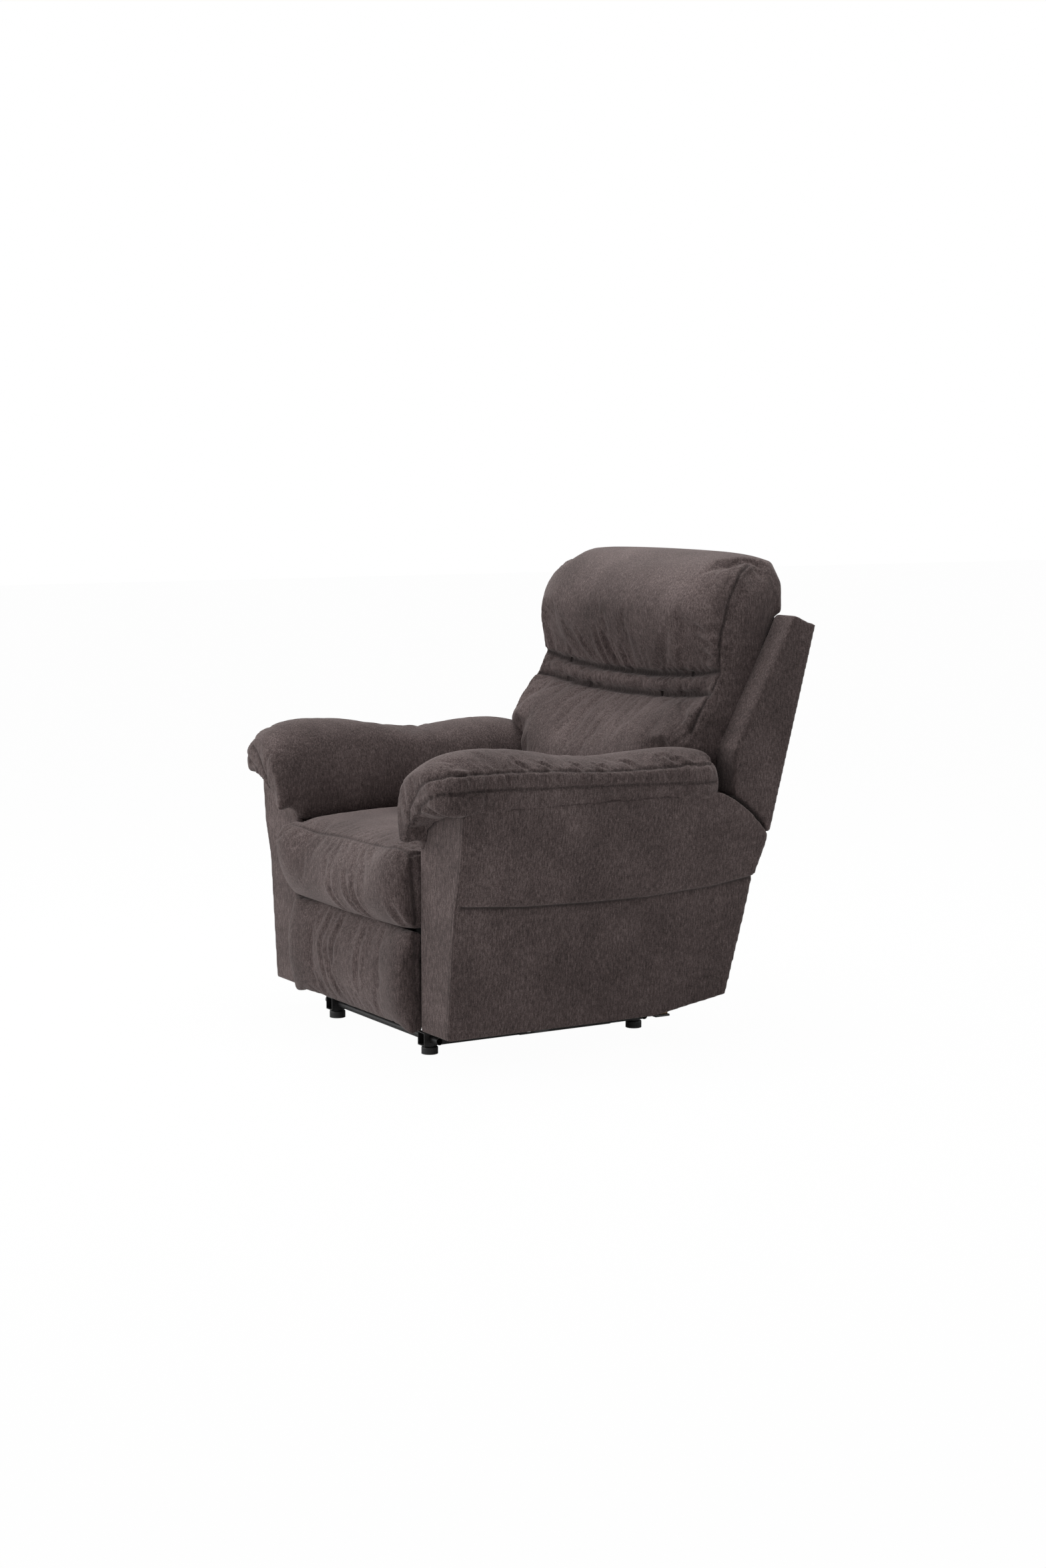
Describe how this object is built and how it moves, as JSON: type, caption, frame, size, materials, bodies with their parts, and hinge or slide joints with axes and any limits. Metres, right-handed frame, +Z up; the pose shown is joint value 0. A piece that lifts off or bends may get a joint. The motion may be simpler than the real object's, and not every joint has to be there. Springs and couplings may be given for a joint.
{
  "type": "recliner armchair",
  "caption": "Fabric recliner armchair with pillow arms, winged reclining back, rolled seat, fold-out footrest on links and a recessed release paddle.",
  "frame": {"origin": "floor level under the middle of the chair", "axes": "+Z up, -Y towards the front, +X towards the sitter's left arm"},
  "size_m": [0.9174, 0.9208, 0.9954],
  "materials": {
    "cover_fabric": "taupe brown speckled chenille",
    "frame_wood": "plain plywood and softwood",
    "black_steel": "black powder coat",
    "zinc_steel": "zinc plated",
    "black_plastic": "matt black",
    "webbing": "woven elastic strap"
  },
  "bodies": {
    "base": {"left_base_rail": "black_steel", "right_base_rail": "black_steel", "cross_tubes": "black_steel", "glide_feet": "black_plastic", "track_uprights": "black_steel", "tracks": "black_steel", "arm_brackets": "black_steel", "arm_bolts": "zinc_steel", "left_arm_inner_board": "frame_wood", "right_arm_inner_board": "frame_wood", "left_arm_lower_panel": "cover_fabric", "right_arm_lower_panel": "cover_fabric", "left_arm_upper_panel": "cover_fabric", "right_arm_upper_panel": "cover_fabric", "left_arm_top_board": "frame_wood", "right_arm_top_board": "frame_wood", "left_arm_base_board": "frame_wood", "right_arm_base_board": "frame_wood", "left_arm_front_panel": "cover_fabric", "right_arm_front_panel": "cover_fabric", "left_arm_pillow": "cover_fabric", "right_arm_pillow": "cover_fabric", "rear_panel": "cover_fabric", "release_bezel": "black_plastic", "release_pin": "zinc_steel", "release_spring": "zinc_steel", "release_cable": "black_plastic"},
    "seat": {"left_side_plate": "black_steel", "right_side_plate": "black_steel", "glide_blocks": "black_plastic", "plate_rivets": "zinc_steel", "back_hinge_pins": "zinc_steel", "seat_side_rails": "frame_wood", "seat_cross_rails": "frame_wood", "seat_springs": "zinc_steel", "spring_clips": "zinc_steel", "seat_cushion": "cover_fabric"},
    "back": {"back_brackets": "black_steel", "back_stiles": "frame_wood", "back_top_rail": "frame_wood", "back_lower_rail": "frame_wood", "back_webbing": "webbing", "outer_back_panel": "cover_fabric", "back_skirt": "cover_fabric", "left_wing": "cover_fabric", "right_wing": "cover_fabric", "lumbar_cushion": "cover_fabric", "back_band": "cover_fabric", "head_pillow": "cover_fabric"},
    "swing": {"swing_links": "black_steel", "torque_tube": "black_steel"},
    "guide": {"guide_links": "black_steel"},
    "carry": {"carry_links": "black_steel", "carry_rivets": "zinc_steel"},
    "tilt": {"tilt_links": "black_steel", "tilt_rivets": "zinc_steel"},
    "footrest": {"footrest_brackets": "black_steel", "footrest_board": "frame_wood", "footrest_pad": "cover_fabric"},
    "release": {"release_paddle": "black_plastic"}
  },
  "joints": [
    {"name": "footrest_open", "type": "hinge", "parent": "seat", "child": "swing", "pos_m": [0, -0.31311, 0.25423], "axis": [-1, 0, 0], "range_deg": [0, 96]},
    {"name": "guide_swing", "type": "hinge", "parent": "seat", "child": "guide", "pos_m": [0, -0.27097, 0.21888], "axis": [-1, 0, 0], "range_deg": [0, 96]},
    {"name": "carry_level", "type": "hinge", "parent": "swing", "child": "carry", "pos_m": [0, -0.26009, 0.10858], "axis": [-1, 0, 0], "range_deg": [-96, 0]},
    {"name": "tilt_level", "type": "hinge", "parent": "swing", "child": "tilt", "pos_m": [0, -0.25508, 0.07293], "axis": [-1, 0, 0], "range_deg": [-96, 0]},
    {"name": "footrest_tilt", "type": "hinge", "parent": "carry", "child": "footrest", "pos_m": [0, -0.375, 0.205], "axis": [-1, 0, 0], "range_deg": [0, 96]},
    {"name": "back_recline", "type": "hinge", "parent": "seat", "child": "back", "pos_m": [0, 0.08, 0.16438], "axis": [-1, 0, 0], "range_deg": [0, 32]},
    {"name": "seat_glide", "type": "slide", "parent": "base", "child": "seat", "axis": [0, -1, 0], "range_m": [0, 0.04]},
    {"name": "paddle_pull", "type": "hinge", "parent": "base", "child": "release", "pos_m": [-0.44204, -0.1395, 0.46671], "axis": [-0.1178, 0, 0.993], "range_deg": [0, 30], "stiffness_Nm_per_rad": 0.05}
  ],
  "couplings": [
    {"joint": "guide_swing", "follows": "footrest_open", "ratio": 1},
    {"joint": "carry_level", "follows": "footrest_open", "ratio": -1},
    {"joint": "tilt_level", "follows": "footrest_open", "ratio": -1},
    {"joint": "footrest_tilt", "follows": "footrest_open", "ratio": 1},
    {"joint": "seat_glide", "follows": "back_recline", "m_per_rad": 0.07162}
  ]
}
